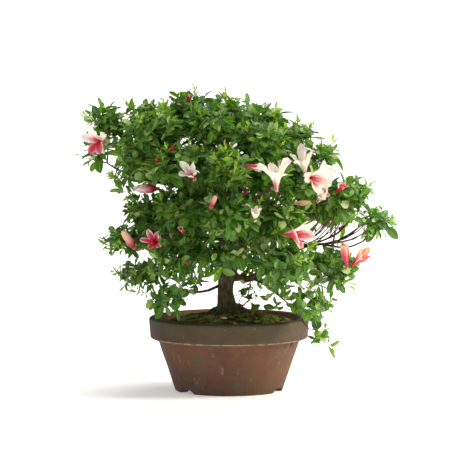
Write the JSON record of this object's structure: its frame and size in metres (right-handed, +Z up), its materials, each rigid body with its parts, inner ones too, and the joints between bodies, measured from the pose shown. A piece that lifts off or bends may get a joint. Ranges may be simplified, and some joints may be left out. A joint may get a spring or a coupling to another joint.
{
  "type": "bonsai tree in a pot",
  "caption": "Flowering azalea bonsai with layered sprays of small leaves and funnel flowers, rooted in soil and moss in a round unglazed pot with a thick rim band and notched foot ring.",
  "frame": {"origin": "middle of the model's box, on the surface that the pot stands on", "axes": "+Z up; +X to the right of the front view, along the tree's widest spread; +Y to the back"},
  "size_m": [0.4708, 0.3796, 0.4441],
  "materials": {
    "unglazed_stoneware": "matte",
    "drain_screen_plastic": "matte",
    "annealed_wire": "satin",
    "pumice": "matte",
    "bonsai_soil": "matte",
    "moss": "matte",
    "pebble_quartz": "satin",
    "azalea_bark": "matte",
    "azalea_leaf": "satin",
    "azalea_petal": "satin"
  },
  "bodies": {
    "root": {"bud_centre": "azalea_petal", "bud_left": "azalea_petal", "bud_lower_left": "azalea_petal", "bud_right": "azalea_petal", "drain_screen": "drain_screen_plastic", "drainage_layer": "pumice", "flower_faded": "azalea_petal", "flower_front_left": "azalea_petal", "flower_left_tip": "azalea_petal", "flower_lower_left": "azalea_petal", "flower_pink_edge": "azalea_petal", "flower_right_tall": "azalea_petal", "flower_right_wide": "azalea_petal", "flower_white_shoulder": "azalea_petal", "flower_white_upright": "azalea_petal", "leaves_arm_middle": "azalea_leaf", "leaves_arm_tip": "azalea_leaf", "leaves_back_1": "azalea_leaf", "leaves_back_2": "azalea_leaf", "leaves_back_3": "azalea_leaf", "leaves_back_4": "azalea_leaf", "leaves_crown_1": "azalea_leaf", "leaves_crown_10": "azalea_leaf", "leaves_crown_11": "azalea_leaf", "leaves_crown_12": "azalea_leaf", "leaves_crown_2": "azalea_leaf", "leaves_crown_3": "azalea_leaf", "leaves_crown_4": "azalea_leaf", "leaves_crown_5": "azalea_leaf", "leaves_crown_6": "azalea_leaf", "leaves_crown_7": "azalea_leaf", "leaves_crown_8": "azalea_leaf", "leaves_crown_9": "azalea_leaf", "leaves_front_1": "azalea_leaf", "leaves_front_2": "azalea_leaf", "leaves_front_3": "azalea_leaf", "leaves_heart_1": "azalea_leaf", "leaves_heart_2": "azalea_leaf", "leaves_heart_3": "azalea_leaf", "leaves_left_back": "azalea_leaf", "leaves_left_hanging": "azalea_leaf", "leaves_left_inner": "azalea_leaf", "leaves_left_low_tip": "azalea_leaf", "leaves_left_shoulder": "azalea_leaf", "leaves_left_tip": "azalea_leaf", "leaves_right_back": "azalea_leaf", "leaves_right_front": "azalea_leaf", "leaves_right_hanging": "azalea_leaf", "leaves_right_side": "azalea_leaf", "leaves_right_sprig": "azalea_leaf", "leaves_right_tip": "azalea_leaf", "leaves_right_top": "azalea_leaf", "leaves_shoulder": "azalea_leaf", "leaves_skirt": "azalea_leaf", "moss_carpet": "moss", "pebble": "pebble_quartz", "pot": "unglazed_stoneware", "screen_staple": "annealed_wire", "soil": "bonsai_soil", "trunk_and_branches": "azalea_bark"}
  },
  "joints": []
}
